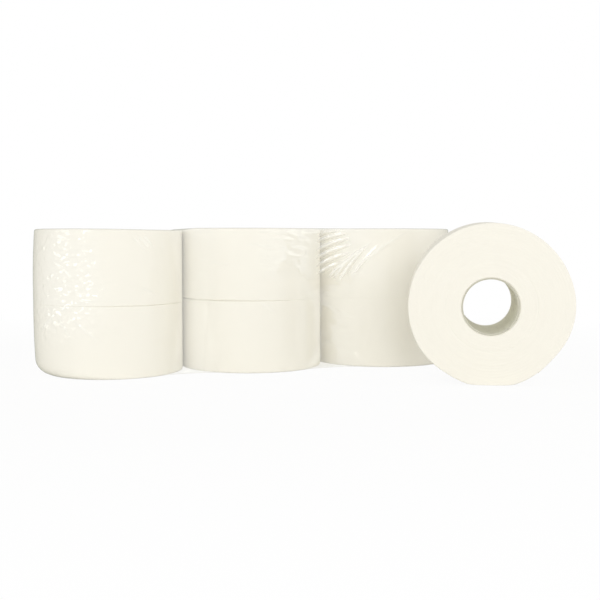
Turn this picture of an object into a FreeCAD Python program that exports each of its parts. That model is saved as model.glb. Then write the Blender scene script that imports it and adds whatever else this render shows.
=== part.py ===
import FreeCAD
import Part

import math
import os

from FreeCAD import Placement, Rotation, Vector

# A pack of large toilet rolls. Three stacks of two rolls stand side by side in one clear shrink
# film, and one more roll stands by itself on its rim, in front of the pack's right end.
#
# Millimetres, +Z up. The origin is the middle of the pack's base, +X runs along the row of stacks
# to the right, and -Y is the front. Each roll is a winding of tissue on a card core.

# Rolls
ROLL_DIAMETER = 180.0
ROLL_WIDTH = 87.0
CORE_BORE = 60.0
CORE_WALL = 1.8
# The card is cut shorter than the tissue by this much at each end.
CORE_RECESS = 1.0
# Rounding of a winding's rims, where nothing presses on them
RIM_ROUNDING = 1.6
# Height of the step where the last sheet ends on the outside of a winding
TAIL_STEP = 0.5
# Circular grooves between the turns, on the end faces that can be seen
GROOVE_COUNT = 4
GROOVE_DEPTH = 0.4
GROOVE_WIDTH = 1.0

# Stacks, from left to right
STACK_NAMES = ("left", "middle", "right")
STACK_CLEARANCE = 0.3
# How far each stack's joint between its two rolls lies below mid-height
JOINT_DROPS = (3.0, 0.0, 0.0)
# Where the last sheet ends on each roll, lower then upper, in degrees from +X
TAIL_ANGLES = ((62.0, 118.0), (218.0, 71.0), (140.0, 35.0))

# Film. The real one is about 0.05 thick.
FILM_THICKNESS = 0.3
FILM_CLEARANCE = 0.2
# Radius of the hollow that the film makes where it passes from one stack to the next
BRIDGE_RADII = (80.0, 110.0)
# The film pulls the rims of the rolls in, more so at the base than at the top.
BOTTOM_ROUNDING = 8.0
TOP_ROUNDING = 2.5

# Gathers of film that fan out from the hollow between the middle and right stacks.
# Each is (distance to the right of the hollow's middle, depth under the top) at both of its ends.
GATHER_HEIGHT = 1.4
GATHER_WIDTH = 4.0
GATHERS = (
    ((-12.0, 18.0), (21.0, 9.0)),
    ((-7.0, 29.0), (24.0, 17.0)),
    ((-4.0, 40.0), (29.0, 24.0)),
    ((-2.0, 50.0), (25.0, 36.0)),
    ((8.0, 63.0), (44.0, 28.0)),
    ((16.0, 67.0), (60.0, 20.0)),
    ((30.0, 64.0), (82.0, 15.0)),
)

# Loose roll. Its middle lies this far to the right of the right stack's middle.
LOOSE_SHIFT = 38.3
# Clear space between it and the film, measured from back to front before it leans
LOOSE_GAP = 55.5
# Its open end faces this many degrees to the left of straight ahead.
LOOSE_TURN = 25.2
# The roll leans forwards this many degrees, so the flat spot is deepest at its front.
LOOSE_LEAN = 1.6
# How far its soft rim is pressed in where it stands, halfway along its width
FLAT_SPOT_DEPTH = 1.7
LOOSE_TAIL_ANGLE = 305.0

# Derived sizes
ROLL_RADIUS = ROLL_DIAMETER / 2
CORE_RADIUS = CORE_BORE / 2 + CORE_WALL
STACK_PITCH = ROLL_DIAMETER + STACK_CLEARANCE
STACK_X = [(i - (len(STACK_NAMES) - 1) / 2) * STACK_PITCH for i in range(len(STACK_NAMES))]
STACK_HEIGHT = 2 * ROLL_WIDTH
PACK_HEIGHT = STACK_HEIGHT + 2 * FILM_THICKNESS
FILM_RADIUS = ROLL_RADIUS + FILM_CLEARANCE + FILM_THICKNESS
LOOSE_SINE = math.sin(math.radians(LOOSE_TURN))
LOOSE_COSINE = math.cos(math.radians(LOOSE_TURN))
LOOSE_X = STACK_X[-1] + LOOSE_SHIFT
LOOSE_Y = -(FILM_RADIUS + LOOSE_GAP + ROLL_RADIUS * LOOSE_SINE + ROLL_WIDTH / 2 * LOOSE_COSINE)
LOOSE_AXIS_HEIGHT = ROLL_RADIUS * math.cos(math.radians(LOOSE_LEAN)) - FLAT_SPOT_DEPTH

UP = Vector(0, 0, 1)
ORIGIN = Vector(0, 0, 0)
# Cutting bodies pass the surface that they cut by this much.
SPARE = 1.0
# Two heights closer than this are the same.
CLOSE = 1e-6


def polar(radius, degrees, height=0.0):
    """The point at a radius and an angle from +X."""
    angle = math.radians(degrees)
    return Vector(radius * math.cos(angle), radius * math.sin(angle), height)


def arc(start, middle, end):
    return Part.Arc(start, middle, end).toShape()


def polyline(points):
    return [Part.LineSegment(a, b).toShape() for a, b in zip(points, points[1:])]


# Windings and cores


def spiral_prism(tail_angle, width):
    """A winding's outside: four quarter arcs that shrink by the tail's step over a full turn."""
    shrink = TAIL_STEP / 4
    centre = Vector(ORIGIN)
    start = polar(ROLL_RADIUS, tail_angle)
    point = start
    edges = []
    for quarter in range(4):
        radius = ROLL_RADIUS - quarter * shrink
        angle = tail_angle + 90 * quarter
        end = centre + polar(radius, angle + 90)
        edges.append(arc(point, centre + polar(radius, angle + 45), end))
        centre = centre + polar(shrink, angle + 90)
        point = end
    edges.append(Part.LineSegment(point, start).toShape())
    return Part.Face(Part.Wire(edges)).extrude(UP * width)


def face_profile(rim_x, height, inward, grooves):
    """Half of an end face, from the core out to the start of its rim, with grooves if it has them."""
    points = [Vector(CORE_RADIUS, 0, height)]
    if grooves:
        spacing = (rim_x - CORE_RADIUS) / (GROOVE_COUNT + 1)
        for i in range(GROOVE_COUNT):
            x = CORE_RADIUS + (i + 1) * spacing
            points.append(Vector(x - GROOVE_WIDTH / 2, 0, height))
            points.append(Vector(x, 0, height + inward * GROOVE_DEPTH))
            points.append(Vector(x + GROOVE_WIDTH / 2, 0, height))
    points.append(Vector(rim_x, 0, height))
    return points


def turned_blank(width, low_rounding, high_rounding, low_grooves, high_grooves):
    """A ring with the winding's bore, rims and grooves, a little larger round than the winding."""
    reach = ROLL_RADIUS + SPARE / 10
    low = face_profile(reach - low_rounding, 0, 1, low_grooves)
    high = face_profile(reach - high_rounding, width, -1, high_grooves)
    low_side = Vector(reach, 0, low_rounding)
    high_side = Vector(reach, 0, width - high_rounding)
    halfway = 1 - math.cos(math.radians(45))
    low_bend = Vector(reach - low_rounding * halfway, 0, low_rounding * halfway)
    high_bend = Vector(reach - high_rounding * halfway, 0, width - high_rounding * halfway)
    edges = polyline(low)
    edges.append(arc(low[-1], low_bend, low_side))
    edges.append(Part.LineSegment(low_side, high_side).toShape())
    edges.append(arc(high_side, high_bend, high[-1]))
    edges += polyline(list(reversed(high)) + [low[0]])
    return Part.Face(Part.Wire(edges)).revolve(ORIGIN, UP, 360)


def winding(width, tail_angle, low_rounding, high_rounding, low_grooves, high_grooves):
    """The tissue of one roll, standing on an end face at the origin."""
    blank = turned_blank(width, low_rounding, high_rounding, low_grooves, high_grooves)
    return spiral_prism(tail_angle, width).common(blank).Solids[0]


def core(width):
    """The card core of a roll that stands on an end face at the origin."""
    length = width - 2 * CORE_RECESS
    tube = Part.makeCylinder(CORE_RADIUS, length, Vector(0, 0, CORE_RECESS))
    bore = Part.makeCylinder(CORE_BORE / 2, length + 2 * SPARE, Vector(0, 0, CORE_RECESS - SPARE))
    return tube.cut(bore).Solids[0]


def stacked_rolls():
    """The wrapped rolls, as node names with their solids."""
    parts = {}
    for stack, x, drop, tails in zip(STACK_NAMES, STACK_X, JOINT_DROPS, TAIL_ANGLES):
        low_width = ROLL_WIDTH - drop
        high_width = ROLL_WIDTH + drop
        low_place = Vector(x, 0, FILM_THICKNESS)
        high_place = low_place + UP * low_width
        low = winding(low_width, tails[0], BOTTOM_ROUNDING, RIM_ROUNDING, False, False)
        high = winding(high_width, tails[1], RIM_ROUNDING, TOP_ROUNDING, False, True)
        parts[f"tissue_{stack}_lower"] = low.translated(low_place)
        parts[f"core_{stack}_lower"] = core(low_width).translated(low_place)
        parts[f"tissue_{stack}_upper"] = high.translated(high_place)
        parts[f"core_{stack}_upper"] = core(high_width).translated(high_place)
    return parts


# Film


def bridge_offset(index):
    """How far in front of the row's middle line the centre of a hollow's arc is."""
    return math.sqrt((FILM_RADIUS + BRIDGE_RADII[index]) ** 2 - (STACK_PITCH / 2) ** 2)


def bridge_angle(index):
    """The angle from the row's line at which the film leaves a stack for the hollow beside it."""
    return math.degrees(math.atan2(bridge_offset(index), STACK_PITCH / 2))


def row_outline(inset, height):
    """The film's outline in plan: round each stack and hollow between two."""
    radius = FILM_RADIUS - inset
    last = len(STACK_X) - 1
    edges = []
    for side in (-1, 1):
        for i, x in enumerate(STACK_X):
            centre = Vector(x, 0, height)
            arrival = 180 if i == 0 else 180 - bridge_angle(i - 1)
            departure = 0 if i == last else bridge_angle(i)
            start, middle, end = [
                centre + polar(radius, side * angle)
                for angle in (arrival, (arrival + departure) / 2, departure)
            ]
            edges.append(arc(start, middle, end))
            if i < last:
                hollow = Vector(x + STACK_PITCH / 2, side * bridge_offset(i), height)
                deepest = hollow - Vector(0, side * (BRIDGE_RADII[i] + inset), 0)
                following = Vector(STACK_X[i + 1], 0, height)
                following = following + polar(radius, side * (180 - bridge_angle(i)))
                edges.append(arc(end, deepest, following))
    return Part.Wire(Part.__sortEdges__(edges))


def edges_at(solid, height):
    """The edges of a solid that lie at one height all along."""
    return [
        edge for edge in solid.Edges if all(abs(v.Point.z - height) < CLOSE for v in edge.Vertexes)
    ]


def wrapped_volume(inset):
    """All that lies inside the film's outer skin, or inside a skin that lies further in."""
    base = inset
    top = PACK_HEIGHT - inset
    solid = Part.Face(row_outline(inset, base)).extrude(UP * (top - base))
    solid = solid.makeFillet(BOTTOM_ROUNDING - inset, edges_at(solid, base))
    return solid.makeFillet(TOP_ROUNDING - inset, edges_at(solid, top))


def film_front(x):
    """The Y of the film's front at an X between the middle stack and the right one."""
    middle_x, right_x = STACK_X[-2:]
    leave = math.radians(bridge_angle(-1))
    if x < middle_x + FILM_RADIUS * math.cos(leave):
        return -math.sqrt(FILM_RADIUS ** 2 - (x - middle_x) ** 2)
    if x > right_x - FILM_RADIUS * math.cos(leave):
        return -math.sqrt(FILM_RADIUS ** 2 - (x - right_x) ** 2)
    hollow_x = (middle_x + right_x) / 2
    return math.sqrt(BRIDGE_RADII[-1] ** 2 - (x - hollow_x) ** 2) - bridge_offset(-1)


def gather(start, end):
    """One fold of film, stretched between two points of the film's front, as two long pyramids."""
    middle = (start + end) * 0.5
    # The straight fold leaves the curved film by this much at its middle, so it is that much thicker.
    bow = abs(middle.y - film_front(middle.x))
    outwards = Vector(0, -(GATHER_HEIGHT + bow), 0)
    across = (end - start).cross(outwards).normalize() * (GATHER_WIDTH / 2)
    corners = [middle + outwards, middle + across, middle - outwards, middle - across]
    section = Part.makePolygon(corners + corners[:1])
    return Part.makeLoft([Part.Vertex(start), section, Part.Vertex(end)], True, True)


def film():
    """The shrink film: one thin closed skin round the row of stacks."""
    hollow_x = (STACK_X[-2] + STACK_X[-1]) / 2
    folds = []
    for ends in GATHERS:
        start, end = [
            Vector(hollow_x + x, film_front(hollow_x + x), PACK_HEIGHT - depth) for x, depth in ends
        ]
        folds.append(gather(start, end))
    return wrapped_volume(0).fuse(folds).cut(wrapped_volume(FILM_THICKNESS)).Solids[0]


# Loose roll


def loose_roll():
    """The roll on its rim, with one end face to the front and a flat spot underneath."""
    tissue = winding(ROLL_WIDTH, LOOSE_TAIL_ANGLE, RIM_ROUNDING, RIM_ROUNDING, True, True)
    middle = Placement(Vector(0, 0, -ROLL_WIDTH / 2), Rotation())
    # The axis turns from upright to level and a little past it, so the upper end faces the front.
    level = Placement(ORIGIN, Rotation(Vector(1, 0, 0), 90 + LOOSE_LEAN))
    turned = Placement(ORIGIN, Rotation(UP, -LOOSE_TURN))
    carried = Placement(Vector(LOOSE_X, LOOSE_Y, LOOSE_AXIS_HEIGHT), Rotation())
    place = carried.multiply(turned).multiply(level).multiply(middle)
    tissue.Placement = place
    card = core(ROLL_WIDTH)
    card.Placement = place
    corner = Vector(LOOSE_X - ROLL_DIAMETER, LOOSE_Y - ROLL_DIAMETER, -ROLL_RADIUS)
    ground = Part.makeBox(2 * ROLL_DIAMETER, 2 * ROLL_DIAMETER, ROLL_RADIUS, corner)
    return {"tissue_loose": tissue.cut(ground).Solids[0], "core_loose": card}


def main():
    parts = stacked_rolls()
    parts.update(loose_roll())
    parts["film_wrap"] = film()
    os.makedirs("parts", exist_ok=True)
    for name, shape in sorted(parts.items()):
        shape.exportStep(f"parts/{name}.step")
        print(f"{name:20s} valid {shape.isValid()} volume {shape.Volume:.0f} mm3")


main()
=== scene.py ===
import math

import bpy
import numpy as np
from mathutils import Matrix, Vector


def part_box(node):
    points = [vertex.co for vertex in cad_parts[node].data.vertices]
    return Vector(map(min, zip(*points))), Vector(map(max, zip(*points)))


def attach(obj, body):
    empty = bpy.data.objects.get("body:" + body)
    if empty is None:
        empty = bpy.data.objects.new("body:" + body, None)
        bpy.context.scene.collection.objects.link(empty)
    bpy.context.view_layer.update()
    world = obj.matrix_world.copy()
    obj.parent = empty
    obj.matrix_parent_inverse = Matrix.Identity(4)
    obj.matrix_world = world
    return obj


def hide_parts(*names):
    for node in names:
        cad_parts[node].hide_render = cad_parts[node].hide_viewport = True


# A pack of large toilet rolls in clear shrink film, with one more roll on its rim in front.
# Sizes below are in millimetres, and meshes are in metres.

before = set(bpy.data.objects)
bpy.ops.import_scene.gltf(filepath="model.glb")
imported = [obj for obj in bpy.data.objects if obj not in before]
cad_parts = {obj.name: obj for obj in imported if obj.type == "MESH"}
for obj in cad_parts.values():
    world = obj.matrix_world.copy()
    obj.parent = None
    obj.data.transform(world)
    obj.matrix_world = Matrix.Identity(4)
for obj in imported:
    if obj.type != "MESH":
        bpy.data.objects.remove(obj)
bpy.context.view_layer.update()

MM = 0.001

# Camera
CAMERA_PLACE = (-320.6, -1179.0, 159.7)
CAMERA_TURN = 18.2
CAMERA_DIP = 3.6
CAMERA_LENS = 56.87

# Rolls
STACKS = ("left", "middle", "right")
LEVELS = ("lower", "upper")
LOOSE_TURN = 25.2
LOOSE_LEAN = 1.6
TAIL_STEP = 0.5
RIM_ROUNDING = 1.6
TOP_ROUNDING = 2.5
BASE_ROUNDING = 2.0
# The film rounds the base most at the pack's left end, and this power sets how fast that fades.
END_ROUNDING = 16.0
END_BLEND = 1.5
SHEET_LENGTH = 104.0
# Depth to which the winding's innermost turns are worn round, at the core
BORE_ROUNDING = 1.3
# Rows of points round each of a winding's rims
ROUND_ROWS = 6
# Radius from which a roll's swellings grow towards its rim
SWELL_FROM = 60.0
# Kinds of rows on a winding
SIDE, RIM, FACE, BORE = 0.0, 0.5, 1.0, 2.0

# Card cores: their outer radius, their wall, the length once round their bore, how far the helix
# of their plies climbs in a turn, how far they lie in from the end faces, and the air between a
# core and its winding
CORE_RADIUS = 31.8
CARD_WALL = 1.8
BORE_ROUND = 2 * math.pi * (CORE_RADIUS - CARD_WALL)
CARD_HELIX = 74.0
CORE_RECESS = 1.0
CORE_AIR = 0.02

# How milky the film is where it lies smooth on the rolls, how much more so where it is seen at a
# slant, the most that clouds add and how much the gathers' ridges add to that
FILM_HAZE = 0.1
SLANT_HAZE = 0.4
CLOUD_MOST = 0.34
RIDGE_CLOUD = 0.3

# Floor: how much of its white is its own, where it starts to fade into the backdrop, over what
# length it does so, and how far it reaches
FLOOR_GLOW = 0.93
FLOOR_NEAR = 420.0
FLOOR_FADE = 500.0
FLOOR_REACH = 6000.0

# Light: the room's strength, where most of it comes from, how much more comes from there and how
# much less from above, then what the softboxes point at, and each one's name, its place and size,
# all in metres, its watts and whether the film mirrors it
ROOM_LIGHT = 0.78
ROOM_FROM = (0.0, -1.0, 0.0)
ROOM_TILT = 0.05
ROOM_TOP = 0.15
LAMP_TARGET = (0.0, 0.0, 0.08)
SOFTBOXES = (
    ("softbox_left", (-1.9, -2.1, 0.8), (0.6, 0.5), 4.0, True),
    ("softbox_front", (-0.5, -3.0, 0.6), (1.4, 1.0), 17.0, False),
    ("softbox_side", (-3.2, -0.4, 0.8), (1.0, 0.8), 5.0, True),
    ("softbox_right", (2.4, -1.5, 0.7), (1.2, 1.0), 3.0, False),
    ("softbox_glint", (2.3, -1.6, 0.7), (1.2, 1.0), 1.5, True),
    ("softbox_high", (0.9, -3.0, 1.4), (0.5, 0.4), 2.0, True),
)


def read_place(node):
    """Middle and size of a node's box, in millimetres."""
    low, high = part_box(node)
    low = np.array(low) / MM
    high = np.array(high) / MM
    return (low + high) / 2, high - low


# Noise that is the same on each run


def lattice_noise(u, v, cells_u, cells_v, seed, wrap_u=True):
    """Smooth noise from -1 to 1. u and v run from 0 to 1, and u meets itself if wrap_u."""
    rng = np.random.default_rng(seed)
    grid = rng.uniform(-1, 1, (cells_u + 1, cells_v + 1))
    if wrap_u:
        grid[-1] = grid[0]
    x = np.clip(u, 0, 1) * cells_u
    y = np.clip(v, 0, 1) * cells_v
    i = np.minimum(x.astype(int), cells_u - 1)
    j = np.minimum(y.astype(int), cells_v - 1)
    fx = x - i
    fy = y - j
    fx = fx * fx * (3 - 2 * fx)
    fy = fy * fy * (3 - 2 * fy)
    low = grid[i, j] * (1 - fx) + grid[i + 1, j] * fx
    high = grid[i, j + 1] * (1 - fx) + grid[i + 1, j + 1] * fx
    return low * (1 - fy) + high * fy


def line_noise(t, seed, count):
    """Smooth noise from -1 to 1 along a line, with one value for each whole number."""
    values = np.random.default_rng(seed).uniform(-1, 1, count + 2)
    t = np.clip(t, 0, count)
    i = t.astype(int)
    f = t - i
    f = f * f * (3 - 2 * f)
    return values[i] * (1 - f) + values[i + 1] * f


# Meshes


def make_piece(name, points, faces, material, smooth=True):
    """A mesh object from points in millimetres. The object stays at the origin."""
    mesh = bpy.data.meshes.new(name)
    mesh.from_pydata((np.asarray(points) * MM).tolist(), [], faces)
    mesh.validate()
    mesh.update()
    if smooth:
        mesh.polygons.foreach_set("use_smooth", [True] * len(mesh.polygons))
    obj = bpy.data.objects.new(name, mesh)
    bpy.context.scene.collection.objects.link(obj)
    mesh.materials.append(material)
    return obj


def torus_faces(around, along):
    """Quads of a grid that meets itself both ways. Point i, j has the index i * along + j."""
    i = np.arange(around)
    j = np.arange(along)
    i, j = np.meshgrid(i, j, indexing="ij")
    k = (i + 1) % around
    m = (j + 1) % along
    quads = np.stack([i * along + j, k * along + j, k * along + m, i * along + m], axis=-1)
    return quads.reshape(-1, 4).tolist()


def set_corner_map(obj, name, values):
    """A UV map from an array with one pair for each face corner, in the order of the faces."""
    layer = obj.data.uv_layers.new(name=name)
    layer.data.foreach_set("uv", np.asarray(values, dtype=np.float32).ravel())


# Rolls


def spiral_relief(rho, turn, bore, pitch, seed):
    """Relief of a winding's end face, which changes slowly along each turn, and each turn's edge."""
    place = (rho - bore) / pitch - turn
    ring = np.floor(place)
    part = place - ring
    cells = 7
    count = int((np.max(ring) + 4) * cells)
    here = line_noise((ring + 2 + turn) * cells, seed, count)
    beyond = line_noise((ring + 3 + turn) * cells, seed, count)
    blend = np.clip((part - 0.55) / 0.45, 0, 1)
    blend = blend * blend * (3 - 2 * blend)
    edge = np.exp(-(((part - 0.78) / 0.2) ** 2))
    return here * (1 - blend) + beyond * blend, edge


def winding_points(spec):
    """Grid of a winding's points, standing on an end face at the origin, and what shading needs."""
    radius, bore, width, seed = spec["radius"], spec["bore"], spec["width"], spec["seed"]
    tail = math.radians(spec["tail"])
    around = spec["around"]
    base = np.arange(around) * 2 * math.pi / around
    step_half = spec["step_run"] / radius
    theta = np.sort(np.concatenate([base, [2 * math.pi - 1e-4]]))
    # Angles are counted from the tail's edge, so that the step lies between the last and the
    # first column.
    theta = theta * (2 * math.pi - 2 * step_half) / theta[-1] + step_half
    n = len(theta)
    low_rows = spec["low_rows"]
    high_rows = spec["high_rows"]
    side_rows = spec["side_rows"]
    lip = 1.25 * BORE_ROUNDING

    def rounding(value):
        """Rounding of a rim at each column."""
        out = np.full(n, value[0])
        if len(value) > 1:
            facing = np.cos(theta + tail - math.radians(value[2]))
            share = np.clip((facing + 0.1) / 1.1, 0, 1)
            out = value[0] + (value[1] - value[0]) * share ** END_BLEND
        return out

    low_r = rounding(spec["low_rounding"])
    high_r = rounding(spec["high_rounding"])
    turn = theta / (2 * math.pi)
    rho, z, kind = [], [], []

    def add(row_rho, row_z, row_kind):
        rho.append(np.broadcast_to(row_rho, n).copy())
        z.append(np.broadcast_to(row_z, n).copy())
        kind.append(np.full(n, row_kind, dtype=float))

    def face(count, rim_r, level, inward, relief_seed, amount):
        """An end face's rows from the bore to the rim, with relief of each turn's edge."""
        rows = []
        for share in (0.0, 0.3, 0.65):
            depth = BORE_ROUNDING * (1 - math.sqrt(max(0.0, 1 - (1 - share) ** 2)))
            worn = np.full(n, level + inward * (depth + 0.05))
            rows.append((np.full(n, bore + share * lip), worn, FACE))
        start = bore + lip
        rim = radius - rim_r
        for share in np.linspace(0, 1, count):
            r = start + (rim - start) * share
            relief, edge = spiral_relief(r, turn, bore, spec["turn_pitch"], relief_seed)
            fade = np.clip((radius - rim_r * 0.4 - r) / 3.0, 0, 1)
            wave = lattice_noise(turn, np.full(n, share), 9, 5, relief_seed + 1)
            drop = amount * (0.45 + 0.32 * relief + 0.5 * edge + 0.22 * wave) * fade
            if amount and spec["ring"]:
                drop = drop + 0.22 * np.exp(-(((r - spec["ring"] - 0.8 * wave) / 1.1) ** 2))
            rows.append((r, level + inward * np.maximum(drop, 0.0), FACE))
        return rows

    for row in face(low_rows, low_r, 0.0, 1, seed + 11, spec["low_relief"]):
        add(*row)
    for k in range(1, ROUND_ROWS):
        bend = math.pi / 2 * k / ROUND_ROWS
        add(radius - low_r * (1 - math.sin(bend)), low_r * (1 - math.cos(bend)), RIM)
    for share in np.linspace(0, 1, side_rows):
        level = low_r + (width - high_r - low_r) * share
        add(radius, level, SIDE)
    for k in range(1, ROUND_ROWS):
        bend = math.pi / 2 * (1 - k / ROUND_ROWS)
        add(radius - high_r * (1 - math.sin(bend)), width - high_r * (1 - math.cos(bend)), RIM)
    for row in reversed(face(high_rows, high_r, width, -1, seed + 23, spec["high_relief"])):
        add(*row)
    for share in (0.75, 0.5, 0.25):
        add(bore, width * share, BORE)

    rho = np.array(rho).T
    z = np.array(z).T
    kind = np.array(kind).T
    turns = turn[:, None] + np.zeros_like(rho)
    up = z / width

    # The outer turn ends in a step, and a soft roll isn't quite round or smooth.
    outer = np.clip((rho - radius + 8) / 8, 0, 1)
    for middle, half, change in spec["swells"]:
        off = (np.degrees(theta + tail) - middle + 180) % 360 - 180
        swell = change * np.exp(-((off / half) ** 2))
        rho = rho + swell[:, None] * np.clip((rho - SWELL_FROM) / (radius - SWELL_FROM), 0, 1)
    rho = rho - outer * TAIL_STEP * turns
    soft = lattice_noise(turns, up, 14, 3, seed) * 0.6
    soft = soft + lattice_noise(turns, up, 37, 6, seed + 1) * 0.4
    rho = rho - outer * spec["softness"] * (0.5 + 0.5 * soft)
    lift = np.exp(-((theta[:, None] * radius / 5.0) ** 2)) * spec["tail_lift"]
    rho = rho + outer * lift * (kind == SIDE)
    slant = spec["tail_slant"] * (up - 0.5) / radius
    edge_noise = line_noise(up * 9, seed + 5, 10) * 0.35 / radius
    angle = theta[:, None] + tail + (slant + edge_noise) * np.ones_like(rho)
    return angle, rho, z, kind, turns


def winding_piece(name, spec, place, material):
    """One winding's mesh. place turns its own points into the row's frame."""
    angle, rho, z, kind, turns = winding_points(spec)
    n, m = rho.shape
    own = np.stack([rho * np.cos(angle), rho * np.sin(angle), z], axis=-1).reshape(-1, 3)
    obj = make_piece(name, place(own), torus_faces(n, m), material)
    # Distance round the outside and, across it, height on the side or radius on an end face
    length = 2 * math.pi * spec["radius"]
    around = turns * length
    across = np.where(kind >= FACE, rho, z)
    j = np.arange(m)
    q = (j + 1) % m
    corner_around, corner_across, corner_kind = [], [], []
    for i in range(n):
        k = (i + 1) % n
        far = around[k] + (length if k == 0 else 0.0)
        corner_around.append(np.stack([around[i, j], far[j], far[q], around[i, q]], -1))
        corner_across.append(np.stack([across[i, j], across[k, j], across[k, q], across[i, q]], -1))
        corner_kind.append(np.stack([kind[i, j], kind[k, j], kind[k, q], kind[i, q]], -1))
    around = np.concatenate(corner_around).ravel() * MM
    across = np.concatenate(corner_across).ravel() * MM
    facing = (np.concatenate(corner_kind).ravel() >= FACE).astype(float)
    set_corner_map(obj, "wrap", np.stack([around, across], -1))
    set_corner_map(obj, "facing", np.stack([facing, facing], -1))
    return obj


def core_piece(name, place, outer, inner, length, seed, material):
    """A spiral-wound card tube, standing on the origin."""
    around = 160
    rows_in = 40
    rows_out = 6
    ply = 0.16
    chamfer = 0.35
    worn = 0.08
    torn = 0.12
    theta = np.arange(around) * 2 * math.pi / around
    middle = (inner + outer) / 2

    rings = []
    for level in np.linspace(chamfer, length - chamfer, rows_in):
        # The inner ply's overlap makes a step that runs round as a helix.
        share = (theta / (2 * math.pi) + level / CARD_HELIX) % 1.0
        rings.append((inner + ply * (share - 0.5), np.full(around, level)))
    tear = lattice_noise(theta / (2 * math.pi), np.zeros(around), 41, 2, seed) * torn
    top = [(inner + chamfer, length - worn), (middle, length), (outer - chamfer, length - worn)]
    for radius, level in top:
        rings.append((np.full(around, radius), level - torn + tear))
    for level in np.linspace(length - chamfer, chamfer, rows_out):
        rings.append((np.full(around, outer), np.full(around, level)))
    for radius, level in [(outer - chamfer, worn), (middle, 0.0), (inner + chamfer, worn)]:
        rings.append((np.full(around, radius), level + torn + tear))
    rho = np.array([r for r, _ in rings]).T
    z = np.array([level for _, level in rings]).T
    # The tube isn't quite round.
    rho = rho + 0.12 * np.cos(2 * theta + seed)[:, None] * np.clip(outer - rho, 0, 1)
    angle = np.broadcast_to(theta[:, None], rho.shape)
    own = np.stack([rho * np.cos(angle), rho * np.sin(angle), z], axis=-1).reshape(-1, 3)
    faces = [face[::-1] for face in torus_faces(around, rho.shape[1])]
    obj = make_piece(name, place(own), faces, material)
    n, m = rho.shape
    j = np.arange(m)
    q = (j + 1) % m
    corners = []
    for i in range(n):
        k = (i + 1) % n
        here = np.full(m, theta[i] * inner)
        there = np.full(m, theta[k] * inner + (2 * math.pi * inner if k == 0 else 0.0))
        pairs = [(here, z[i, q]), (there, z[k, q]), (there, z[k]), (here, z[i])]
        corners.append(np.stack([np.stack(pair, -1) for pair in pairs], axis=1))
    set_corner_map(obj, "wrap", np.concatenate(corners).reshape(-1, 2) * MM)
    # 1 on the cut ends, 0 on the bore and the outside
    ends = np.array([0.0] * rows_in + [1.0] * 3 + [0.0] * rows_out + [1.0] * 3)
    facing = np.tile(np.stack([ends[q], ends[q], ends[j], ends[j]], -1), (n, 1, 1)).ravel()
    set_corner_map(obj, "facing", np.stack([facing, facing], -1))
    return obj


# Materials


def new_material(name):
    material = bpy.data.materials.new(name)
    material.use_nodes = True
    material.node_tree.nodes.clear()
    return material


class Nodes:
    """Short calls for adding shader nodes to one material or to the world."""

    def __init__(self, material):
        self.tree = material.node_tree

    def add(self, kind, values=None, **settings):
        node = self.tree.nodes.new(kind)
        for key, value in settings.items():
            setattr(node, key, value)
        for key, value in (values or {}).items():
            if isinstance(value, bpy.types.NodeSocket):
                self.tree.links.new(value, node.inputs[key])
            else:
                node.inputs[key].default_value = value
        return node

    def math(self, operation, a, b=0.0, c=0.0, clamp=False):
        node = self.add("ShaderNodeMath", {0: a, 1: b, 2: c}, operation=operation, use_clamp=clamp)
        return node.outputs[0]

    def mix(self, share, a, b):
        return self.add("ShaderNodeMix", {0: share, 6: a, 7: b}, data_type="RGBA").outputs[2]

    def noise(self, vector, scale, detail, roughness):
        values = {"Vector": vector, "Scale": scale, "Detail": detail, "Roughness": roughness}
        return self.add("ShaderNodeTexNoise", values).outputs["Fac"]

    def scaled(self, vector, scale):
        node = self.add("ShaderNodeMapping", {"Vector": vector, "Scale": scale})
        return node.outputs[0]


def map_node(nodes, name):
    return nodes.add("ShaderNodeUVMap", uv_map=name).outputs[0]


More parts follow.
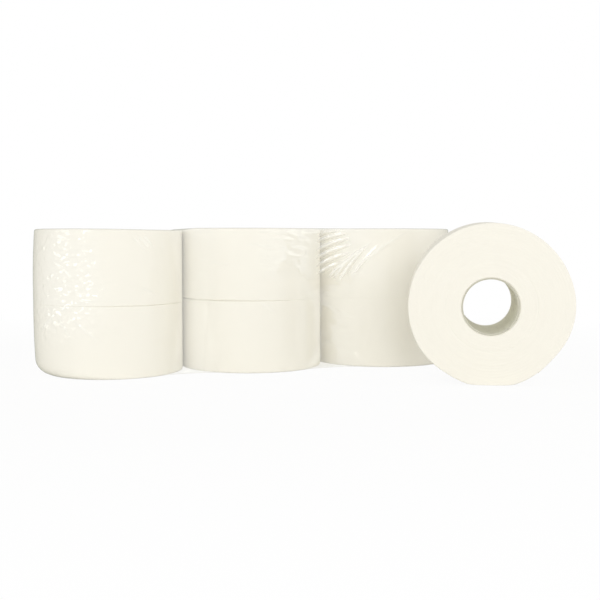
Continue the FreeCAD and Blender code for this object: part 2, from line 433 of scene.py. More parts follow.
def tissue_material():
    material = new_material("tissue")
    nodes = Nodes(material)
    wrap = map_node(nodes, "wrap")
    facing = nodes.add("ShaderNodeSeparateXYZ", {0: map_node(nodes, "facing")}).outputs[0]
    split = nodes.add("ShaderNodeSeparateXYZ", {0: wrap})
    around, across = split.outputs[0], split.outputs[1]
    place = nodes.add("ShaderNodeTexCoord").outputs["Object"]

    # Crepe: fine ridges that run from end face to end face
    crepe = nodes.noise(nodes.scaled(wrap, (1500.0, 260.0, 1.0)), 1.0, 2.0, 0.6)
    fibres = nodes.noise(place, 900.0, 3.0, 0.6)
    soft = nodes.noise(place, 38.0, 2.0, 0.5)
    # Turns on the end faces, at a fine pitch that wanders
    wander = nodes.math("MULTIPLY", nodes.noise(place, 26.0, 2.0, 0.5), 5.0)
    turns_at = nodes.math("ADD", nodes.math("MULTIPLY", across, 1900.0), wander)
    turns = nodes.math("SINE", nodes.math("MULTIPLY", turns_at, 2 * math.pi))
    turns = nodes.math("MULTIPLY_ADD", turns, 0.5, 0.5)
    broad_at = nodes.scaled(wrap, (6.0, 420.0, 1.0))
    broad = nodes.noise(broad_at, 1.0, 4.0, 0.65)
    # Perforations: a dashed line at the end of each sheet
    sheet = nodes.math("PINGPONG", around, SHEET_LENGTH * MM / 2)
    line = nodes.math("LESS_THAN", sheet, 0.35 * MM)
    dash = nodes.math("GREATER_THAN", nodes.math("PINGPONG", across, 1.6 * MM), 0.45 * MM)
    perforation = nodes.math("MULTIPLY", line, dash)
    on_side = nodes.math("SUBTRACT", 1.0, facing)
    perforation = nodes.math("MULTIPLY", perforation, on_side)

    pale = (0.945, 0.921, 0.838, 1.0)
    deep = (0.90, 0.872, 0.782, 1.0)
    deep_end = (0.90, 0.872, 0.785, 1.0)
    hole = (0.62, 0.59, 0.5, 1.0)
    shade = nodes.math("MULTIPLY_ADD", soft, 0.5, nodes.math("MULTIPLY", fibres, 0.3))
    side_colour = nodes.mix(nodes.math("MULTIPLY", shade, 0.55), pale, deep)
    ring_share = nodes.math("MULTIPLY_ADD", turns, 0.25, nodes.math("MULTIPLY", broad, 0.6))
    end_colour = nodes.mix(ring_share, pale, deep_end)
    colour = nodes.mix(facing, side_colour, end_colour)
    colour = nodes.mix(nodes.math("MULTIPLY", perforation, 0.04), colour, hole)

    side_height = nodes.math("MULTIPLY_ADD", crepe, 0.55, nodes.math("MULTIPLY", fibres, 0.35))
    side_height = nodes.math("SUBTRACT", side_height, nodes.math("MULTIPLY", perforation, 0.3))
    end_height = nodes.math("MULTIPLY_ADD", turns, 0.15, nodes.math("MULTIPLY", broad, 0.5))
    end_height = nodes.math("MULTIPLY_ADD", fibres, 0.3, end_height)
    height = nodes.add(
        "ShaderNodeMix", {0: facing, 2: side_height, 3: end_height}, data_type="FLOAT"
    ).outputs[0]
    bump = nodes.add("ShaderNodeBump", {"Height": height, "Strength": 0.3, "Distance": 0.0002})
    surface = nodes.add("ShaderNodeBsdfPrincipled", {
        "Base Color": colour,
        "Roughness": 0.95,
        "Specular IOR Level": 0.15,
        "Normal": bump.outputs[0],
    })
    nodes.add("ShaderNodeOutputMaterial", {"Surface": surface.outputs[0]})
    return material


def card_material():
    material = new_material("card")
    nodes = Nodes(material)
    wrap = map_node(nodes, "wrap")
    split = nodes.add("ShaderNodeSeparateXYZ", {0: wrap})
    place = nodes.add("ShaderNodeTexCoord").outputs["Object"]
    fibres = nodes.noise(nodes.scaled(wrap, (700.0, 250.0, 1.0)), 1.0, 4.0, 0.65)
    specks = nodes.noise(place, 420.0, 2.0, 0.5)
    clouds = nodes.noise(place, 55.0, 2.0, 0.5)
    # The butt joint of the inner ply runs round the bore as a helix.
    turns = nodes.math("DIVIDE", split.outputs[0], BORE_ROUND * MM)
    climb = nodes.math("DIVIDE", split.outputs[1], CARD_HELIX * MM)
    helix_at = nodes.math("ADD", turns, climb)
    joint = nodes.math("LESS_THAN", nodes.math("PINGPONG", helix_at, 0.5), 0.006)

    pale = (0.9, 0.89, 0.78, 1.0)
    deep = (0.77, 0.755, 0.65, 1.0)
    speck = (0.3, 0.27, 0.2, 1.0)
    slit = (0.25, 0.23, 0.18, 1.0)
    # Cut-end colour, partly painted shade of the recess that the cores sit in
    cut_end_shade = (0.48, 0.465, 0.38, 1.0)
    share = nodes.math("MULTIPLY_ADD", fibres, 0.6, nodes.math("MULTIPLY", clouds, 0.4))
    colour = nodes.mix(share, pale, deep)
    specks = nodes.math("GREATER_THAN", specks, 0.68)
    colour = nodes.mix(nodes.math("MULTIPLY", specks, 0.4), colour, speck)
    colour = nodes.mix(nodes.math("MULTIPLY", joint, 0.35), colour, slit)
    # The cut ends are darker than the bore: partly the card's own cut tone, partly painted shade of
    # their recess in the winding.
    facing = nodes.add("ShaderNodeSeparateXYZ", {0: map_node(nodes, "facing")}).outputs[0]
    colour = nodes.mix(nodes.math("MULTIPLY", facing, 0.75), colour, cut_end_shade)
    bump = nodes.add("ShaderNodeBump", {"Height": fibres, "Strength": 0.4, "Distance": 0.0003})
    surface = nodes.add("ShaderNodeBsdfPrincipled", {
        "Base Color": colour,
        "Roughness": 0.85,
        "Specular IOR Level": 0.25,
        "Normal": bump.outputs[0],
    })
    nodes.add("ShaderNodeOutputMaterial", {"Surface": surface.outputs[0]})
    return material


def film_material():
    material = new_material("film")
    nodes = Nodes(material)
    place = nodes.add("ShaderNodeTexCoord").outputs["Object"]
    fine = nodes.noise(nodes.scaled(place, (150.0, 150.0, 330.0)), 1.0, 3.0, 0.6)
    broad = nodes.noise(nodes.scaled(place, (26.0, 26.0, 60.0)), 1.0, 2.0, 0.5)
    height = nodes.math("MULTIPLY_ADD", broad, 2.0, nodes.math("MULTIPLY", fine, 0.6))
    bump = nodes.add("ShaderNodeBump", {"Height": height, "Strength": 0.4, "Distance": 0.001})
    # The milky or mirroring share of the film
    shine = nodes.add("ShaderNodeBsdfPrincipled", {
        "Base Color": (0.985, 0.975, 0.92, 1.0),
        "Metallic": 0.45,
        "Roughness": 0.2,
        # Grazing reflections are tinted darker: painted shade on the film's edges and fold flanks
        "Specular Tint": (0.62, 0.62, 0.56, 1.0),
        "Normal": bump.outputs[0],
    })
    # A look along the film passes through more of it; most of the darkening there is painted shade.
    edge = nodes.add("ShaderNodeLayerWeight", {"Blend": 0.5}).outputs["Facing"]
    edge = nodes.math("POWER", edge, 5.0)
    straight = (0.998, 0.998, 0.994, 1.0)
    # Tint seen at a slant: painted shade of the stacks' edges that turn away from the light
    slanting_shade = (0.5, 0.52, 0.46, 1.0)
    tint = nodes.mix(edge, straight, slanting_shade)
    clear = nodes.add("ShaderNodeBsdfTransparent", {"Color": tint})
    cloud = nodes.add("ShaderNodeAttribute", attribute_name="cloud").outputs["Fac"]
    grazing = nodes.add("ShaderNodeFresnel", {"IOR": 1.5, "Normal": bump.outputs[0]}).outputs[0]
    share = nodes.math("MULTIPLY_ADD", grazing, SLANT_HAZE, FILM_HAZE)
    share = nodes.math("ADD", share, cloud, clamp=True)
    surface = nodes.add("ShaderNodeMixShader", {0: share, 1: clear.outputs[0], 2: shine.outputs[0]})
    nodes.add("ShaderNodeOutputMaterial", {"Surface": surface.outputs[0]})
    return material


tissue = tissue_material()
card = card_material()
film = film_material()


# Film

# The radii of the film's two hollows in the solids. Places on the front or back are distances
# along the film as the solids have it, from the left end.
HOLLOWS = (80.0, 110.0)

# Folds: start and end as (distance along the front or back, height), then height and half width.
# Gathers are the sharp ones that fan out from the second hollow.
GATHERS = (
    ((401, 166), (434, 172), 0.8, 1.7),
    ((399, 158), (444, 169), 1.1, 1.8),
    ((398, 147), (448, 163), 1.25, 2.0),
    ((397, 137), (450, 155), 1.25, 2.0),
    ((398, 127), (448, 145), 1.2, 2.0),
    ((400, 118), (440, 134), 1.0, 1.9),
    ((416, 112), (457, 145), 1.0, 2.2),
    ((423, 111), (468, 157), 1.25, 2.3),
    ((431, 109), (478, 165), 1.1, 2.4),
    ((446, 112), (494, 166), 0.7, 2.6),
    ((452, 126), (526, 174), 0.8, 2.8),
)

FOLDS = (
    ((404, 90), (430, 98), 0.5, 1.8),
    ((408, 86), (441, 66), 0.5, 2.2),
    ((312, 170), (362, 166), 0.5, 1.4),
    ((326, 161), (392, 157), 0.55, 1.5),
    ((340, 151), (396, 146), 0.6, 1.5),
    ((346, 142), (398, 135), 0.6, 1.6),
    ((300, 155), (345, 149), 0.4, 1.4),
    ((316, 86), (341, 74), 0.35, 1.4),
    ((322, 80), (344, 71), 0.3, 1.3),
    ((256, 134), (287, 129), 0.3, 1.3),
    ((33, 51), (73, 79), 0.7, 1.8),
    ((71, 78), (93, 87), 0.6, 1.6),
    ((92, 87), (124, 90), 0.3, 1.6),
    ((158, 167), (176, 147), 0.7, 1.3),
    ((164, 168), (183, 150), 0.8, 1.5),
    ((171, 169), (188, 151), 0.8, 1.8),
    ((168, 106), (186, 96), 0.4, 1.3),
    ((174, 103), (192, 94), 0.4, 1.3),
    ((64, 74), (88, 45), 0.45, 1.8),
    ((86, 70), (124, 40), 0.35, 2.0),
)

BACK_FOLDS = (
    ((170, 150), (225, 120), 0.7, 2.0),
    ((175, 128), (228, 104), 0.8, 2.0),
    ((232, 96), (290, 128), 0.7, 2.2),
    ((370, 140), (420, 112), 0.8, 2.0),
    ((372, 118), (424, 96), 0.8, 2.0),
    ((426, 84), (486, 126), 0.7, 2.4),
    ((90, 60), (150, 84), 0.4, 2.4),
    ((500, 50), (560, 90), 0.4, 2.4),
)
# The back's folds are this much wider than they are listed.
BACK_SPREAD = 1.6

# Crumpled patches: middle as (distance along the front, height), reach both ways, facet size and
# facet slope
PATCHES = (
    ((80, 118), (44, 60), (6.5, 4.0), 0.16),
    ((62, 62), (30, 24), (6.0, 5.0), 0.17),
    ((128, 108), (44, 60), (10.0, 7.0), 0.06),
    ((358, 147), (46, 28), (17.0, 7.0), 0.08),
)

# Milky spots of film: middle as (distance along the front, height), reach both ways, strength
HAZES = (
    ((80, 112), (44, 62), 0.24),
    ((360, 148), (44, 30), 0.2),
)

# Where the film is milky over and beside the hollows: x where that starts, is full, starts to end
# and has ended. The right one's upper part is milkier, round a middle and over a half width.
LEFT_GAP = (-122, -96, -84, -50)
RIGHT_GAP = (36, 70, 90, 140)
GAP_CLOUD = 0.3
RIGHT_MIDDLE = 112
RIGHT_HALF = 34.0
RIGHT_CLOUD = 0.15

# The joints between a stack's two rolls: their heights, how far the film sinks in over each, how
# far along on each side of a stack's middle, and over what half height
SEAM_HEIGHTS = [float(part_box(f"tissue_{stack}_upper")[0][2] / MM) for stack in STACKS]
SEAM_DIPS = (0.22, 0.32, 0.1)
SEAM_REACH = 78.0
SEAM_HALF = 1.6

# Where the film leaves the middle stack early: the distances along the front at which that
# starts, is full, starts to end and has ended, the height of its lower edge, how far that falls
# and between which distances, how far the film stands out there and how cloudy it is
BRIDGE_SPAN = (338, 372, 392, 414)
BRIDGE_EDGE = 128
BRIDGE_FALL = 19
BRIDGE_FALLS = (356, 408)
BRIDGE_LIFT = 0.45
BRIDGE_CLOUD = 0.25

CENTRES = [float(read_place(f"core_{stack}_lower")[0][0]) for stack in STACKS]
PITCH = CENTRES[1] - CENTRES[0]
FILM_BOX = [np.array(corner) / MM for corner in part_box("film_wrap")]
FILM_HEIGHT = float(FILM_BOX[1][2])
FILM_RADIUS = float(CENTRES[0] - FILM_BOX[0][0])
# Half width of the stretch at each hollow that nothing backs
FREE_HALF = 30.0

# The hollows are tighter than in the solids: how much at the left one's middle height, and the
# right one's radius below the gathers, what its foot adds to that and over what share of the
# height, and between which shares of the height it widens to its full radius
LEFT_SINK = 40.0
RIGHT_LOW = 50.0
RIGHT_FOOT = 34.0
RIGHT_FOOT_SHARE = 0.08
RIGHT_WIDENS = (0.42, 0.66)

# How far the film pulls in the row's left end, how much more at its foot below one height and at
# its top over a reach above another, and how far it holds down the left stack's top, and more so
# next to the hollow
LEFT_PULL = 0.6
FOOT_PULL = 2.4
FOOT_BELOW = 70.0
TOP_PULL = 2.6
TOP_ABOVE = 105.0
TOP_REACH = 70.0
LEFT_DROP = 1.4
HOLLOW_DROP = 1.3

# How far the top sinks over each core, and the reach of that
CORE_SAG = 0.9
SAG_REACH = 24.0

# The film's mesh: columns on each arc of the front, how many of those make one at the back, and
# rows on the sides, on each rim and across the caps
ARC_COLUMNS = (150, 58, 94, 88, 151)
BACK_STEP = 4
SIDE_ROWS = 112
RIM_ROWS = 6
CAP_ROWS = 12


def ease(value, low, high):
    """0 below low, 1 above high and smooth between them."""
    share = np.clip((value - low) / (high - low), 0, 1)
    return share * share * (3 - 2 * share)


def span(value, limits):
    """0 outside four limits, 1 between the middle two and smooth between those and the others."""
    start, full, ending, end = limits
    return ease(value, start, full) * (1 - ease(value, ending, end))


def hollow_radius(index, level):
    """How wide a hollow's arc is at a height. It is tighter where the film sinks in deeper."""
    share = np.clip(level / FILM_HEIGHT, 0, 1)
    if index == 0:
        return HOLLOWS[0] - LEFT_SINK * np.sin(math.pi * share) ** 0.8
    low = RIGHT_LOW + RIGHT_FOOT * np.exp(-((share / RIGHT_FOOT_SHARE) ** 2))
    return low + (HOLLOWS[1] - low) * ease(share, *RIGHT_WIDENS)


def film_columns():
    """Each column of the front as the arc that it is on and its share of the way along it."""
    arcs, shares = [], []
    for arc, count in enumerate(ARC_COLUMNS):
        arcs.append(np.full(count, arc))
        if arc % 2:
            shares.append((np.arange(count) + 1) / (count + 1))
        else:
            shares.append(np.linspace(0, 1, count))
    return np.concatenate(arcs), np.concatenate(shares)


def outline(arcs, shares, side, radii, inset):
    """Points and outward normals of the front (-1) or back (1). radii and inset may vary."""
    points = np.zeros((len(arcs), 2))
    normals = np.zeros((len(arcs), 2))
    offsets = [np.sqrt((FILM_RADIUS + radius) ** 2 - (PITCH / 2) ** 2) for radius in radii]
    angles = [np.arctan2(offset, PITCH / 2) for offset in offsets]
    for arc in range(len(ARC_COLUMNS)):
        here = arcs == arc
        share = shares[here]
        index = arc // 2
        if arc % 2 == 0:
            start = math.pi if index == 0 else math.pi - angles[index - 1]
            end = 0.0 if index == len(CENTRES) - 1 else angles[index]
            angle = start + (end - start) * share
            normal = np.stack([np.cos(angle), side * np.sin(angle)], -1)
            middle = np.array([CENTRES[index], 0.0])
            points[here] = middle + normal * (FILM_RADIUS - inset[here])[:, None]
        else:
            lean = (math.pi / 2 - angles[index]) * (2 * share - 1)
            normal = np.stack([-np.sin(lean), side * np.cos(lean)], -1)
            middle = np.array([CENTRES[index] + PITCH / 2, side * offsets[index]])
            points[here] = middle - normal * (radii[index] + inset[here])[:, None]
        normals[here] = normal
    return points, normals


def fold_lift(s, z, start, end, height, width):
    """A fold's height at each place. One flank is steeper than the other."""
    run = np.array(end, dtype=float) - np.array(start, dtype=float)
    length = math.hypot(*run)
    run = run / length
    ds = s - start[0]
    dz = z - start[1]
    along = (ds * run[0] + dz * run[1]) / length
    across = dz * run[0] - ds * run[1]
    # The fold bends a little.
    across = across - 0.035 * length * np.sin(math.pi * np.clip(along, 0, 1))
    ends = ease(along, 0.0, 0.25) * (1 - ease(along, 0.55, 1.0))
    half = width * (0.5 + 0.5 * ends)
    half = np.where(across > 0, 0.6 * half, half)
    return height * ends * np.exp(-((across / half) ** 2))


def facets(s, z, middle, reach, size, slope, seed):
    """Height of crumpled film: small flat facets at all sorts of slopes."""
    rng = np.random.default_rng(seed)
    area = 4 * reach[0] * reach[1]
    count = int(area / (size[0] * size[1]))
    spots = (rng.random((count, 2)) * 2 - 1) * np.array(reach) * 1.1 + np.array(middle)
    tilts = rng.normal(0, slope, (count, 2))
    levels = rng.uniform(0, 0.5, count) * slope * size[1]
    height = np.zeros_like(s)
    near = (np.abs(s - middle[0]) < reach[0] * 1.25) & (np.abs(z - middle[1]) < reach[1] * 1.25)
    ps, pz = s[near], z[near]
    ds = ps[:, None] - spots[:, 0]
    dz = pz[:, None] - spots[:, 1]
    distance = (ds / size[0]) ** 2 + (dz / size[1]) ** 2
    distance -= distance.min(axis=1, keepdims=True)
    weight = np.exp(-distance * 9.0)
    plane = tilts[:, 0] * ds + tilts[:, 1] * dz + levels
    part = (weight * plane).sum(axis=1) / weight.sum(axis=1)
    fade = np.exp(-(((ps - middle[0]) / reach[0]) ** 4) - ((pz - middle[1]) / reach[1]) ** 4)
    height[near] = part * fade
    return height


def freedom(x):
    """1 where the film spans a hollow and nothing backs it, and 0 on the rolls."""
    free = np.zeros_like(x)
    for a, b in zip(CENTRES, CENTRES[1:]):
        free += np.exp(-(((x - (a + b) / 2) / FREE_HALF) ** 4))
    return free


def clearance(flat):
    """How far points lie outside the round of the nearest stack."""
    near = np.min([np.hypot(flat[:, 0] - centre, flat[:, 1]) for centre in CENTRES], axis=0)
    return np.maximum(near - FILM_RADIUS, 0.0)


def all_folds(s, z, folds, spread=1.0):
    """Height of a list of folds. Where two meet, the higher one counts."""
    lift = np.zeros_like(s)
    for start, end, height, width in folds:
        lift = np.maximum(lift, fold_lift(s, z, start, end, height, width * spread))
    return lift


def bridging(s, z):
    """1 where the film leaves the middle stack early, to bridge to the right one, and 0 elsewhere."""
    edge = BRIDGE_EDGE - BRIDGE_FALL * ease(s, *BRIDGE_FALLS) + 3.0 * np.sin(s / 9.0)
    return ease(z, edge - 3.0, edge + 3.0) * span(s, BRIDGE_SPAN)


def gap_cloud(x, z):
    """How cloudy the film is over and beside the hollows."""
    right = ease(x, 75, 90) * np.exp(-(((x - RIGHT_MIDDLE) / RIGHT_HALF) ** 4)) * ease(z, 100, 125)
    return GAP_CLOUD * (span(x, LEFT_GAP) + span(x, RIGHT_GAP)) + RIGHT_CLOUD * right


def front_shape(s, z, x):
    """How far the front stands out from its smooth run, and how cloudy it is there."""
    u = s / s.max()
    v = z / FILM_HEIGHT
    lift = 0.10 * lattice_noise(u, v, 60, 16, 41, False)
    lift += 0.05 * lattice_noise(u, v, 120, 50, 42, False)
    # Only the right hollow's free film is wavy.
    lift += 0.25 * freedom(x) * ease(x, 0, 1) * lattice_noise(u, v, 90, 40, 43, False)
    for number, (middle, reach, size, slope) in enumerate(PATCHES):
        lift += facets(s, z, middle, reach, size, slope, 70 + number)
    gathers = all_folds(s, z, GATHERS)
    folds = all_folds(s, z, FOLDS)
    bridge = bridging(s, z)
    lift += gathers + folds + BRIDGE_LIFT * bridge
    cloud = gap_cloud(x, z) + BRIDGE_CLOUD * bridge + 0.4 * folds
    for (at_s, at_z), (reach_s, reach_z), amount in HAZES:
        cloud += amount * np.exp(-(((s - at_s) / reach_s) ** 4) - ((z - at_z) / reach_z) ** 4)
    return lift, np.minimum(cloud, CLOUD_MOST) + RIDGE_CLOUD * np.clip(gathers, 0, 1)


def back_shape(s, z, x):
    """As front_shape, for the back."""
    u = s / s.max()
    v = z / FILM_HEIGHT
    lift = 0.10 * lattice_noise(u, v, 60, 16, 51, False)
    lift += 0.05 * lattice_noise(u, v, 110, 40, 52, False)
    folds = all_folds(s, z, BACK_FOLDS, BACK_SPREAD)
    return lift + folds, np.minimum(0.25 * freedom(x) + 0.2 * folds, CLOUD_MOST)


def film_belt(arcs, shares, side, shape):
    """The upright part of the film with both rims: points by column and row, and cloudiness."""
    reference, _ = outline(arcs, shares, side, HOLLOWS, np.zeros(len(arcs)))
    run = np.concatenate([[0], np.cumsum(np.hypot(*np.diff(reference, axis=0).T))])
    rows = [("low", k / RIM_ROWS) for k in range(RIM_ROWS)]
    rows += [("side", k / (SIDE_ROWS - 1)) for k in range(SIDE_ROWS)]
    rows += [("high", k / RIM_ROWS) for k in range(1, RIM_ROWS + 1)]
    from_left = np.clip(((CENTRES[0] - reference[:, 0]) / FILM_RADIUS + 0.1) / 1.1, 0, 1)
    low_r = BASE_ROUNDING + (END_ROUNDING - BASE_ROUNDING) * from_left ** END_BLEND
    high_r = np.full(len(arcs), TOP_ROUNDING)
    points = np.zeros((len(arcs), len(rows), 3))
    cloud = np.zeros((len(arcs), len(rows)))
    for j, (kind, share) in enumerate(rows):
        if kind == "low":
            inset = low_r * (1 - math.sin(math.pi / 2 * share))
            level = low_r * (1 - math.cos(math.pi / 2 * share))
        elif kind == "side":
            inset = np.zeros(len(arcs))
            level = low_r + (FILM_HEIGHT - high_r - low_r) * share
        else:
            inset = high_r * (1 - math.cos(math.pi / 2 * share))
            level = FILM_HEIGHT - high_r * (1 - math.sin(math.pi / 2 * share))
        # All columns of a row lie at about one height.
        radii = [float(hollow_radius(index, np.mean(level))) for index in range(len(HOLLOWS))]
        flat, normal = outline(arcs, shares, side, radii, inset)
        if kind == "side":
            s = np.interp(flat[:, 0], reference[:, 0], run)
            lift, cloudy = shape(s, level, flat[:, 0])
            lift = lift - seam_dip(level, flat[:, 0])
            # It never sinks into the rolls that it lies on.
            lift = np.maximum(lift, -0.3 - 0.6 * clearance(flat))
            # The film keeps its smooth run at both ends, where front and back meet, and at the rims.
            from_end = np.clip(np.minimum(s, run[-1] - s) / 6.0, 0, 1)
            from_rim = np.clip(min(share, 1 - share) / 0.02, 0, 1)
            lift *= from_end * from_rim
            flat = flat + normal * lift[:, None]
            cloud[:, j] = cloudy
        points[:, j, :2] = flat
        points[:, j, 2] = level
    cloud[:, :RIM_ROWS] = cloud[:, RIM_ROWS:RIM_ROWS + 1]
    cloud[:, -RIM_ROWS:] = cloud[:, -RIM_ROWS - 1:-RIM_ROWS]
    return points, cloud


def seam_dip(level, x):
    """How far the film sinks in over the joint between two rolls of a stack."""
    dip = np.zeros_like(x)
    for centre, height, depth in zip(CENTRES, SEAM_HEIGHTS, SEAM_DIPS):
        near = np.exp(-(((x - centre) / SEAM_REACH) ** 6))
        dip += depth * near * np.exp(-(((level - height) / SEAM_HALF) ** 2))
    return dip


def film_piece():
    """The film's skin, closed: a belt round the stacks, with a flat top and base."""
    arcs, shares = film_columns()
    front, front_cloud = film_belt(arcs, shares, -1, front_shape)
    back, back_cloud = film_belt(arcs[::BACK_STEP], shares[::BACK_STEP], 1, back_shape)
    last = len(front) - 1
    groups = len(back) - 1
    rows = front.shape[1]
    points = [front.reshape(-1, 3), back[1:-1].reshape(-1, 3)]
    clouds = [front_cloud.ravel(), back_cloud[1:-1].ravel()]
    total = len(points[0]) + len(points[1])

    def front_at(i, row):
        return i * rows + row

    def back_at(j, row):
        if j == 0:
            return front_at(0, row)
        if j == groups:
            return front_at(last, row)
        return (last + j) * rows + row

    faces = []
    for i in range(last):
        for row in range(rows - 1):
            low = [front_at(i, row), front_at(i + 1, row)]
            faces.append(low + [front_at(i + 1, row + 1), front_at(i, row + 1)])
    for j in range(groups):
        for row in range(rows - 1):
            low = [back_at(j + 1, row), back_at(j, row)]
            faces.append(low + [back_at(j, row + 1), back_at(j + 1, row + 1)])
    for row, upwards in ((0, False), (rows - 1, True)):
        inner = np.zeros((groups - 1, CAP_ROWS - 1, 3))
        for k in range(1, CAP_ROWS):
            share = k / CAP_ROWS
            inner[:, k - 1] = front[BACK_STEP:-1:BACK_STEP, row] * (1 - share) + back[1:-1, row] * share
        if upwards:
            inner[:, :, 2] += top_sag(inner[:, :, 0], inner[:, :, 1])
        points.append(inner.reshape(-1, 3))
        clouds.append(np.zeros((groups - 1) * (CAP_ROWS - 1)))
        first = total

        def cap_at(j, k):
            if k == 0:
                return front_at(j * BACK_STEP, row)
            if k == CAP_ROWS or j in (0, groups):
                return back_at(j, row)
            return first + (j - 1) * (CAP_ROWS - 1) + k - 1

        for j in range(groups):
            for k in range(CAP_ROWS):
                if k == 0:
                    face = [front_at(j * BACK_STEP + i, row) for i in range(BACK_STEP + 1)]
                else:
                    face = [cap_at(j, k), cap_at(j + 1, k)]
                face += [cap_at(j + 1, k + 1), cap_at(j, k + 1)]
                # At both ends the cap's columns shrink to one point.
                face = list(dict.fromkeys(face))
                if len(face) > 2:
                    faces.append(face if upwards else face[::-1])
        total += (groups - 1) * (CAP_ROWS - 1)
    obj = make_piece("film_skin", squeezed(np.concatenate(points)), faces, film)
    layer = obj.data.attributes.new("cloud", "FLOAT", "POINT")
    layer.data.foreach_set("value", np.concatenate(clouds).astype(np.float32))
    return obj


def squeezed(points):
    """Moves points as the film does: it pulls in the row's left end and holds its top down."""
    x, z = points[:, 0] - CENTRES[0], points[:, 2]
    end = ease(-x / FILM_RADIUS, 0.45, 1.0)
    pull = LEFT_PULL + FOOT_PULL * np.clip(1 - z / FOOT_BELOW, 0, 1) ** 2
    pull = pull + TOP_PULL * np.clip((z - TOP_ABOVE) / TOP_REACH, 0, 1) ** 2
    drop = LEFT_DROP + HOLLOW_DROP * ease(x, -60, 70)
    drop = drop * (1 - ease(x, 78, 98)) * ease(z, 0.5 * FILM_HEIGHT, FILM_HEIGHT)
    return points + np.stack([end * pull, np.zeros_like(x), -drop], -1)


def top_sag(x, y):
    """The top film sinks a little over each core."""
    sag = np.zeros_like(x)
    for centre in CENTRES:
        sag -= CORE_SAG * np.exp(-((np.hypot(x - centre, y) / SAG_REACH) ** 4))
    return sag


skin = film_piece()
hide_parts("film_wrap")
# So clear a film leaves the light on the tissue as it is.
skin.visible_shadow = False
skin.visible_diffuse = False
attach(skin, "root")


# Rolls in the pack


def upright(centre, base):
    def place(points):
        return squeezed(points + np.array([centre[0], centre[1], base]))

    return place


# Where each roll's last sheet ends, in degrees
TAILS = {
    "left_lower": 62.0,
    "left_upper": 118.0,
    "middle_lower": 218.0,
    "middle_upper": 71.0,
    "right_lower": 140.0,
    "right_upper": 35.0,
    "loose": 305.0,
}

# The wrapped rolls' rims are pressed together at each stack's joint: the rims' rounding there, and
# where two more numbers follow, the most that it grows to and the direction in which it does so,
# in degrees.
JOINT_ROUNDINGS = ((0.3, 1.5, 285.0), (0.3, 3.0, 205.0), (0.35,))
WRAPPED_RADIUS = 89.9

for number, stack in enumerate(STACKS):
    for level in LEVELS:
        key = f"{stack}_{level}"
        centre, size = read_place(f"core_{key}")
        low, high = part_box(f"tissue_{key}")
        lower = level == "lower"
        base_rounding = (BASE_ROUNDING, END_ROUNDING, 180.0) if stack == "left" else (BASE_ROUNDING,)
        joint_rounding = JOINT_ROUNDINGS[number]
        spec = {
            "radius": WRAPPED_RADIUS,
            "bore": size[0] / 2 + CORE_AIR,
            "width": (high[2] - low[2]) / MM,
            "seed": 100 + number * 10 + (0 if lower else 5),
            "tail": TAILS[key],
            "around": 240,
            "low_rows": 6,
            "high_rows": 8 if lower else 44,
            "side_rows": 34,
            "low_rounding": base_rounding if lower else joint_rounding,
            "high_rounding": joint_rounding if lower else (TOP_ROUNDING,),
            "low_relief": 0.0,
            "high_relief": 0.0 if lower else 0.5,
            "turn_pitch": 3.6,
            "softness": 0.25,
            "step_run": 0.9,
            "ring": 0.0,
            "swells": (),
            "tail_lift": 0.0,
            "tail_slant": 9.0 if key == "middle_lower" else 1.5,
        }
        roll = winding_piece(f"winding_{key}", spec, upright(centre, low[2] / MM), tissue)
        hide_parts(f"tissue_{key}")
        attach(roll, "root")
        outer = size[0] / 2
        place = upright(centre, centre[2] - size[2] / 2)
        tube = core_piece(f"tube_{key}", place, outer, outer - CARD_WALL, size[2], number, card)
        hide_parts(f"core_{key}")
        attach(tube, "root")


# Loose roll

LOOSE_RADIUS = 90.4
# What lies below the first height is pressed flat, down to the second
PRESSED_BELOW = 2.0
PRESSED_TO = 0.06


def lying(centre, width):
    """Turns a roll's own points so that its upper end faces the front, and presses its base flat."""
    turn = math.radians(LOOSE_TURN)
    lean = math.radians(LOOSE_LEAN)

    def place(points):
        x, y, z = points[:, 0], points[:, 1], points[:, 2] - width / 2
        # From upright to level and a little further, then round to the left
        level_x = x
        level_y = -y * math.sin(lean) - z * math.cos(lean)
        level_z = y * math.cos(lean) - z * math.sin(lean)
        out_x = level_x * math.cos(turn) + level_y * math.sin(turn)
        out_y = -level_x * math.sin(turn) + level_y * math.cos(turn)
        height = level_z + centre[2]
        soft = PRESSED_BELOW - PRESSED_TO
        pressed = PRESSED_TO + soft * np.exp((height - PRESSED_BELOW) / soft)
        height = np.where(height < PRESSED_BELOW, pressed, height)
        return np.stack([out_x + centre[0], out_y + centre[1], height], -1)

    return place


loose_centre, _ = read_place("core_loose")
# Two stacked rolls are together twice as wide as one.
loose_width = sum(read_place(f"tissue_left_{level}")[1][2] for level in LEVELS) / 2
spec = {
    "radius": LOOSE_RADIUS,
    "bore": CORE_RADIUS + CORE_AIR,
    "width": loose_width,
    "seed": 300,
    "tail": TAILS["loose"],
    "around": 340,
    "low_rows": 50,
    "high_rows": 96,
    "side_rows": 40,
    "low_rounding": (RIM_ROUNDING,),
    "high_rounding": (RIM_ROUNDING,),
    "low_relief": 0.2,
    "high_relief": 0.2,
    "turn_pitch": 3.2,
    "softness": 0.3,
    "step_run": 0.12,
    # Radius of a faint ring on the end faces
    "ring": 50.0,
    # The roll isn't quite round: angle, half width in degrees and change in radius
    "swells": ((90.0, 45.0, 1.6), (0.0, 24.0, 0.7), (317.0, 17.0, -2.2), (238.0, 17.0, -1.7)),
    "tail_lift": 0.25,
    "tail_slant": 2.0,
}
roll = winding_piece("winding_loose", spec, lying(loose_centre, loose_width), tissue)
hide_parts("tissue_loose")
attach(roll, "root")
length = loose_width - 2 * CORE_RECESS
place = lying(loose_centre, length)
tube = core_piece("tube_loose", place, CORE_RADIUS, CORE_RADIUS - CARD_WALL, length, 9, card)
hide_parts("core_loose")
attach(tube, "root")


# Floor, light and camera


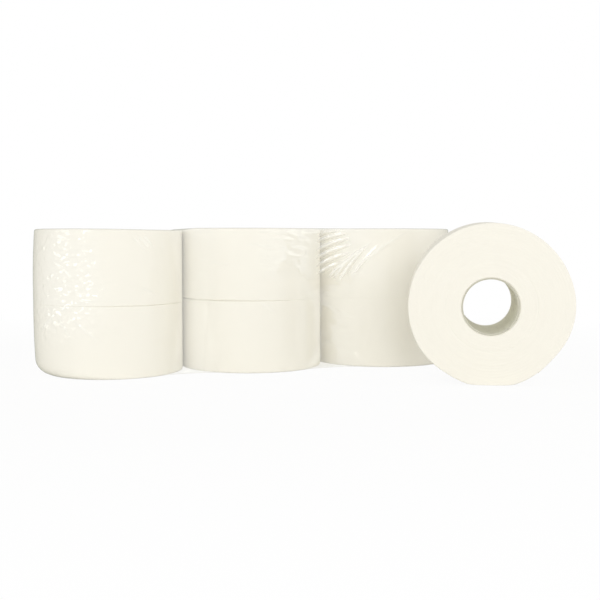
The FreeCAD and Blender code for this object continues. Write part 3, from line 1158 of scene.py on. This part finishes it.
def seen_directly(nodes):
    """1 for rays from the camera, in reflections and through glass, and 0 for light on the object."""
    path = nodes.add("ShaderNodeLightPath")
    total = nodes.math("ADD", path.outputs["Is Camera Ray"], path.outputs["Is Glossy Ray"])
    return nodes.math("ADD", total, path.outputs["Is Transmission Ray"], clamp=True)


def floor_piece():
    material = new_material("floor")
    nodes = Nodes(material)
    place = nodes.add("ShaderNodeTexCoord").outputs["Object"]
    away = nodes.add("ShaderNodeVectorMath", {0: place}, operation="LENGTH").outputs["Value"]
    # The floor runs out into a white backdrop.
    past = nodes.math("SUBTRACT", away, FLOOR_NEAR * MM)
    far = nodes.math("DIVIDE", past, FLOOR_FADE * MM, clamp=True)
    glow_share = nodes.math("MULTIPLY_ADD", far, 1 - FLOOR_GLOW, FLOOR_GLOW)
    matte = nodes.add("ShaderNodeBsdfDiffuse", {"Color": (0.93, 0.93, 0.92, 1.0)})
    glow = nodes.add("ShaderNodeEmission", {"Color": (1.0, 1.0, 1.0, 1.0), "Strength": 1.0})
    share = nodes.math("MULTIPLY", seen_directly(nodes), glow_share)
    surface = nodes.add("ShaderNodeMixShader", {0: share, 1: matte.outputs[0], 2: glow.outputs[0]})
    nodes.add("ShaderNodeOutputMaterial", {"Surface": surface.outputs[0]})
    points = [(x * FLOOR_REACH, y * FLOOR_REACH, 0) for x, y in ((-1, -1), (1, -1), (1, 1), (-1, 1))]
    floor = make_piece("floor", points, [(0, 1, 2, 3)], material, smooth=False)


def make_world():
    world = bpy.data.worlds.new("studio")
    bpy.context.scene.world = world
    world.use_nodes = True
    world.node_tree.nodes.clear()
    nodes = Nodes(world)
    seen = nodes.add("ShaderNodeBackground", {"Color": (1.0, 1.0, 1.0, 1.0), "Strength": 1.0})
    place = nodes.add("ShaderNodeTexCoord").outputs["Generated"]
    towards = nodes.add("ShaderNodeVectorMath", {0: place, 1: ROOM_FROM}, operation="DOT_PRODUCT")
    strength = nodes.math("MULTIPLY_ADD", towards.outputs["Value"], ROOM_LIGHT * ROOM_TILT, ROOM_LIGHT)
    above = nodes.add("ShaderNodeSeparateXYZ", {0: place}).outputs[2]
    above = nodes.math("MULTIPLY_ADD", nodes.math("MAXIMUM", above, 0.0), -ROOM_TOP, 1.0)
    strength = nodes.math("MULTIPLY", strength, above)
    light = nodes.add("ShaderNodeBackground", {"Color": (1.0, 0.99, 0.97, 1.0), "Strength": strength})
    surface = nodes.add(
        "ShaderNodeMixShader", {0: seen_directly(nodes), 1: light.outputs[0], 2: seen.outputs[0]}
    )
    nodes.add("ShaderNodeOutputWorld", {"Surface": surface.outputs[0]})


def add_lamp(name, place, size, power, mirrored):
    lamp = bpy.data.lights.new(name, "AREA")
    lamp.shape = "RECTANGLE"
    lamp.size = size[0]
    lamp.size_y = size[1]
    lamp.energy = power
    obj = bpy.data.objects.new(name, lamp)
    obj.visible_glossy = mirrored
    obj.location = place
    obj.rotation_euler = (Vector(LAMP_TARGET) - Vector(place)).to_track_quat("-Z", "Y").to_euler()
    bpy.context.scene.collection.objects.link(obj)


def add_camera():
    data = bpy.data.cameras.new("camera")
    data.lens = CAMERA_LENS
    data.sensor_width = 36.0
    data.clip_start = 0.05
    data.clip_end = 50.0
    camera = bpy.data.objects.new("camera", data)
    camera.location = Vector(CAMERA_PLACE) * MM
    turn = math.radians(CAMERA_TURN)
    dip = math.radians(CAMERA_DIP)
    camera.rotation_euler = (math.pi / 2 - dip, 0.0, -turn)
    bpy.context.scene.collection.objects.link(camera)
    bpy.context.scene.camera = camera


floor_piece()
make_world()
for name, place, size, power, mirrored in SOFTBOXES:
    add_lamp(name, place, size, power, mirrored)
add_camera()
bpy.context.scene.view_settings.view_transform = "Standard"
